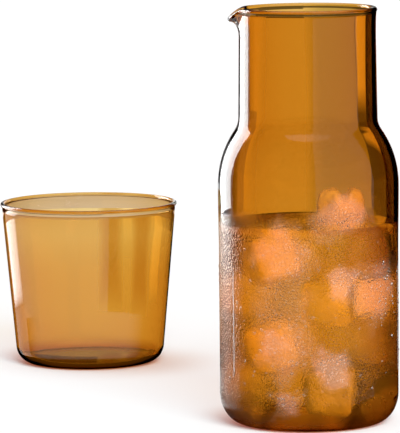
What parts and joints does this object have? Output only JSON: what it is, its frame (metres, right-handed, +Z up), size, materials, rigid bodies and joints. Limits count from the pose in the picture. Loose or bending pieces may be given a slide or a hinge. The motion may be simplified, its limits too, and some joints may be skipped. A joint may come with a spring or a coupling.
{
  "type": "bedside carafe with tumbler",
  "caption": "Amber glass carafe with a straight neck and a pulled pouring lip, holding iced water, with a loose tapered tumbler to drink from.",
  "frame": {"origin": "centre of the carafe's base, on the surface that the set stands on", "axes": "+Z up along the carafe's axis; -X is the way the lip pours; the tumbler stands towards -X and +Y"},
  "size_m": [0.206, 0.291, 0.2],
  "materials": {
    "carafe_glass": "polished",
    "tumbler_glass": "polished",
    "water": "clear liquid",
    "ice": "wet ice"
  },
  "bodies": {
    "filled_carafe": {"carafe": "carafe_glass", "water": "water", "ice_cube_1": "ice", "ice_cube_2": "ice", "ice_cube_3": "ice", "ice_cube_4": "ice", "ice_cube_5": "ice", "ice_cube_6": "ice", "ice_cube_7": "ice", "ice_cube_8": "ice", "ice_cube_9": "ice", "ice_cube_10": "ice", "ice_cube_11": "ice", "ice_cube_12": "ice", "ice_cube_13": "ice"},
    "loose_tumbler": {"tumbler": "tumbler_glass"}
  },
  "joints": [
    {"name": "tumbler_lift", "type": "slide", "parent": "filled_carafe", "child": "loose_tumbler", "axis": [0, 0, 1], "range_m": [0, 0.25]}
  ]
}
